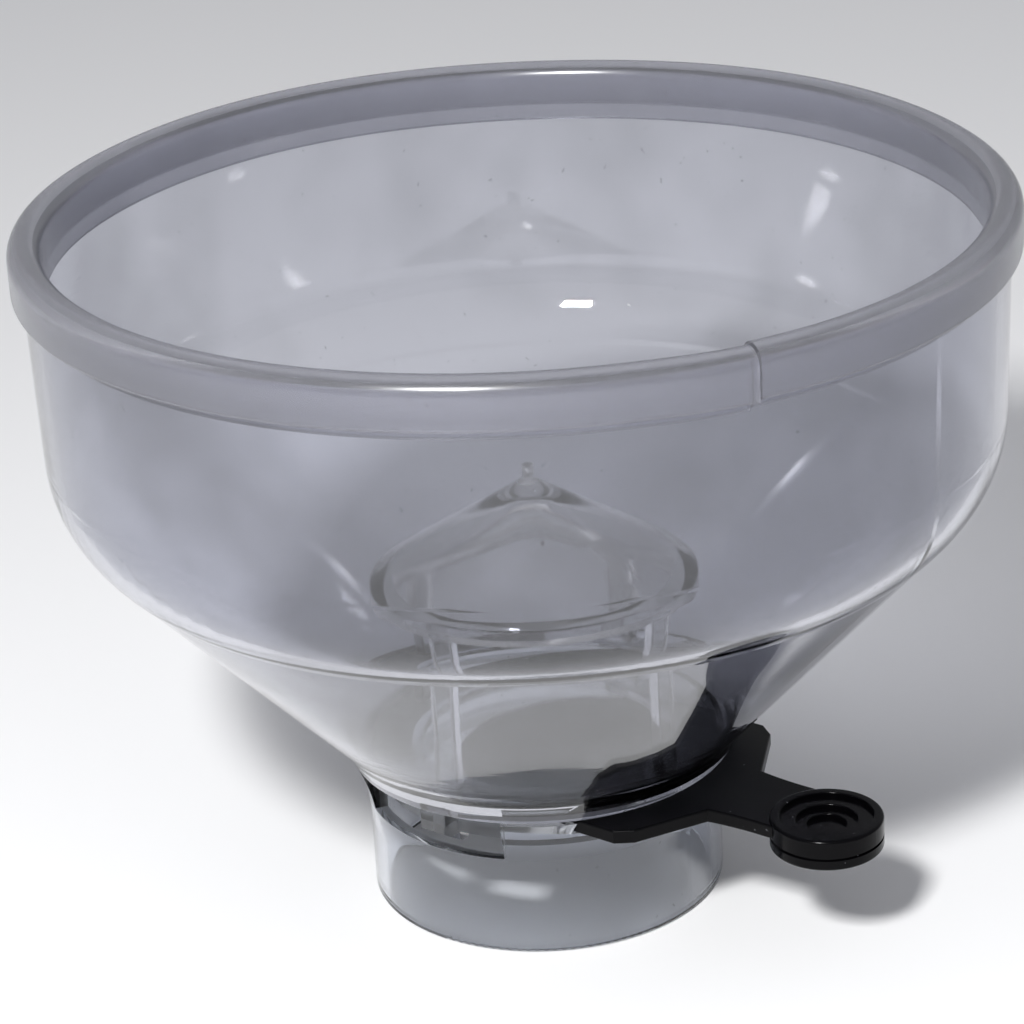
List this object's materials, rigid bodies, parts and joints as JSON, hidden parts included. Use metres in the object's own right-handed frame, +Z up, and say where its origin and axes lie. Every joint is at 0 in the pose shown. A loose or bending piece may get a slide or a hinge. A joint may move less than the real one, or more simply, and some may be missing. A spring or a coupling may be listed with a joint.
{
  "type": "gravity hopper with slide gate",
  "caption": "Clear funnel hopper for coffee beans, with a conical finger guard on legs, a frosted rim edging and a black slide gate that shuts its short round outlet.",
  "frame": {"origin": "centre of the outlet's bottom edge, on the surface that it stands on", "axes": "+Z up through the bowl's mouth, +X the way the slide gate pulls out, +Y completes the right hand"},
  "size_m": [0.1614, 0.1614, 0.1211],
  "materials": {
    "clear_bowl": "clear, polished polycarbonate",
    "clear_outlet": "clear, polished polycarbonate",
    "clear_guard": "clear, thick moulding",
    "frosted_edging": "frosted flexible PVC",
    "black_gate": "semi-gloss moulded",
    "black_knob": "semi-gloss moulded"
  },
  "bodies": {
    "hopper": {"hopper_bowl": "clear_bowl", "outlet_collar": "clear_outlet", "bean_guard": "clear_guard", "rim_edging": "frosted_edging"},
    "gate": {"slide_gate": "black_gate", "gate_knob": "black_knob"}
  },
  "joints": [
    {"name": "gate_slide", "type": "slide", "parent": "hopper", "child": "gate", "axis": [1, 0, 0], "range_m": [-0.009, 0.035]}
  ]
}
